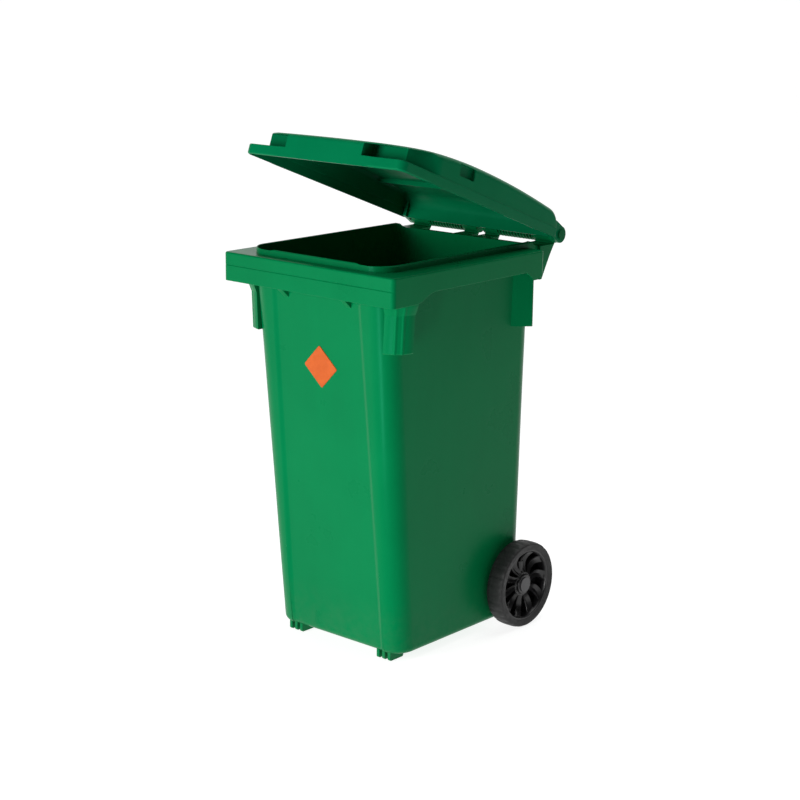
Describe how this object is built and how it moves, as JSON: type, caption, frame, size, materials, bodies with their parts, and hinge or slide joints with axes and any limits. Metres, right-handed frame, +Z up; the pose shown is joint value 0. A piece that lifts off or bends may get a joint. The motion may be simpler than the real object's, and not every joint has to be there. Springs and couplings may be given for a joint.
{
  "type": "wheelie bin",
  "caption": "Tapered plastic waste bin with a comb rim, a domed lid hinged at the back, rear hand grips and spoked wheels on a steel axle, for kerbside collection.",
  "frame": {"origin": "on the ground under the middle of the bin's bounding box, with the lid at its rest angle", "axes": "+X to the left-to-right width as seen from the front, the front faces -Y, +Z up"},
  "size_m": [0.49, 0.622, 1.1373],
  "materials": {
    "tub_plastic": "moulded polyethylene, satin to glossy",
    "lid_plastic": "moulded polyethylene, satin to glossy",
    "pin_plastic": "moulded",
    "wheel_plastic": "moulded, slight gloss",
    "tyre_rubber": "solid rubber",
    "cap_plastic": "moulded",
    "axle_steel": "zinc plated",
    "small_steel": "bright",
    "label": "printed plate, satin"
  },
  "bodies": {
    "tub": {"body": "tub_plastic", "hinge_pin_left": "pin_plastic", "hinge_pin_right": "pin_plastic", "axle": "axle_steel", "axle_spacer_left": "wheel_plastic", "axle_spacer_right": "wheel_plastic", "label_plate": "label"},
    "lid": {"lid": "lid_plastic"},
    "wheel_left": {"wheel_left": "wheel_plastic", "tyre_left": "tyre_rubber", "hub_cap_left": "cap_plastic", "lock_spring_left": "small_steel"},
    "wheel_right": {"wheel_right": "wheel_plastic", "tyre_right": "tyre_rubber", "hub_cap_right": "cap_plastic", "lock_spring_right": "small_steel"},
    "lock_left": {"lock_pin_left": "small_steel"},
    "lock_right": {"lock_pin_right": "small_steel"}
  },
  "joints": [
    {"name": "lid_hinge", "type": "hinge", "parent": "tub", "child": "lid", "pos_m": [0, 0.291, 0.898], "axis": [-1, 0, 0], "range_deg": [-20.9, 225]},
    {"name": "wheel_left_spin", "type": "hinge", "parent": "tub", "child": "wheel_left", "pos_m": [0, 0.176, 0.1], "axis": [1, 0, 0], "continuous": true},
    {"name": "wheel_right_spin", "type": "hinge", "parent": "tub", "child": "wheel_right", "pos_m": [0, 0.176, 0.1], "axis": [1, 0, 0], "continuous": true},
    {"name": "lock_left_slide", "type": "slide", "parent": "wheel_left", "child": "lock_left", "axis": [0, 0, 1], "range_m": [0, 0.003], "stiffness_N_per_m": 400, "springref_m": -0.001, "deforming": ["lock_spring_left"]},
    {"name": "lock_right_slide", "type": "slide", "parent": "wheel_right", "child": "lock_right", "axis": [0, 0, 1], "range_m": [0, 0.003], "stiffness_N_per_m": 400, "springref_m": -0.001, "deforming": ["lock_spring_right"]}
  ]
}
